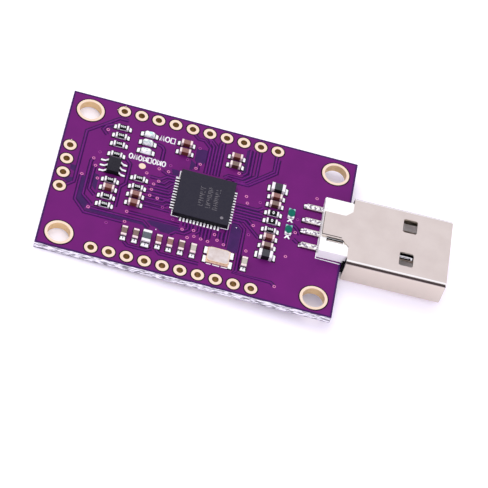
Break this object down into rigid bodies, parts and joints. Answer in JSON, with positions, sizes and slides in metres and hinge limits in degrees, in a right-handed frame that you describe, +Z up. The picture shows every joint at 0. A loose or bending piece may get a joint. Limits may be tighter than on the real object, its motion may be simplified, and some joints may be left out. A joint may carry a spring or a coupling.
{
  "type": "usb to serial adapter module",
  "caption": "Flat circuit board with a metal-shelled USB plug at one end, a square controller chip, small chips and lights, empty header holes and plated corner holes.",
  "frame": {"origin": "middle of the bottom of the overall box, under the plug shell's underside", "axes": "+X along the board towards the plug's tip, +Z up from the component side, +Y towards the board's far long edge"},
  "size_m": [0.0574, 0.0284, 0.0045],
  "materials": {
    "board": "glossy solder mask over glass fibre",
    "gold": "thin pale gold plating",
    "solder": "bright solder",
    "tinned": "tinned leads",
    "chip_moulding": "matt dark moulding",
    "ceramic": "matt",
    "can_metal": "satin",
    "resistor_ceramic": "black coat on white ceramic",
    "capacitor_ceramic": "satin",
    "ferrite_ceramic": "satin",
    "fuse_coat": "glossy coat",
    "lens": "milky resin",
    "contact_metal": "plated",
    "white_plastic": "satin",
    "steel": "bright plated sheet steel"
  },
  "bodies": {
    "root": {"capacitor_1": "capacitor_ceramic", "capacitor_10": "capacitor_ceramic", "capacitor_11": "capacitor_ceramic", "capacitor_12": "capacitor_ceramic", "capacitor_13": "capacitor_ceramic", "capacitor_14": "capacitor_ceramic", "capacitor_15": "capacitor_ceramic", "capacitor_16": "capacitor_ceramic", "capacitor_17": "capacitor_ceramic", "capacitor_18": "capacitor_ceramic", "capacitor_2": "capacitor_ceramic", "capacitor_3": "capacitor_ceramic", "capacitor_4": "capacitor_ceramic", "capacitor_5": "capacitor_ceramic", "capacitor_6": "capacitor_ceramic", "capacitor_7": "capacitor_ceramic", "capacitor_8": "capacitor_ceramic", "capacitor_9": "capacitor_ceramic", "chip_solder": "solder", "circuit_board": "board", "contact_solder": "solder", "controller": "chip_moulding", "controller_lands": "solder", "crystal_base": "ceramic", "crystal_lid": "can_metal", "ferrite_1": "ferrite_ceramic", "ferrite_2": "ferrite_ceramic", "ferrite_3": "ferrite_ceramic", "fuse_1": "fuse_coat", "fuse_2": "fuse_coat", "led_1": "lens", "led_2": "lens", "led_3": "lens", "mount_rings": "gold", "resistor_1": "resistor_ceramic", "resistor_10": "resistor_ceramic", "resistor_11": "resistor_ceramic", "resistor_12": "resistor_ceramic", "resistor_2": "resistor_ceramic", "resistor_3": "resistor_ceramic", "resistor_4": "resistor_ceramic", "resistor_5": "resistor_ceramic", "resistor_6": "resistor_ceramic", "resistor_7": "resistor_ceramic", "resistor_8": "resistor_ceramic", "resistor_9": "resistor_ceramic", "six_lead_chip": "chip_moulding", "six_lead_chip_leads": "tinned", "test_pad": "gold", "usb_body": "white_plastic", "usb_contact_1": "contact_metal", "usb_contact_2": "contact_metal", "usb_contact_3": "contact_metal", "usb_contact_4": "contact_metal", "usb_shell": "steel"}
  },
  "joints": []
}
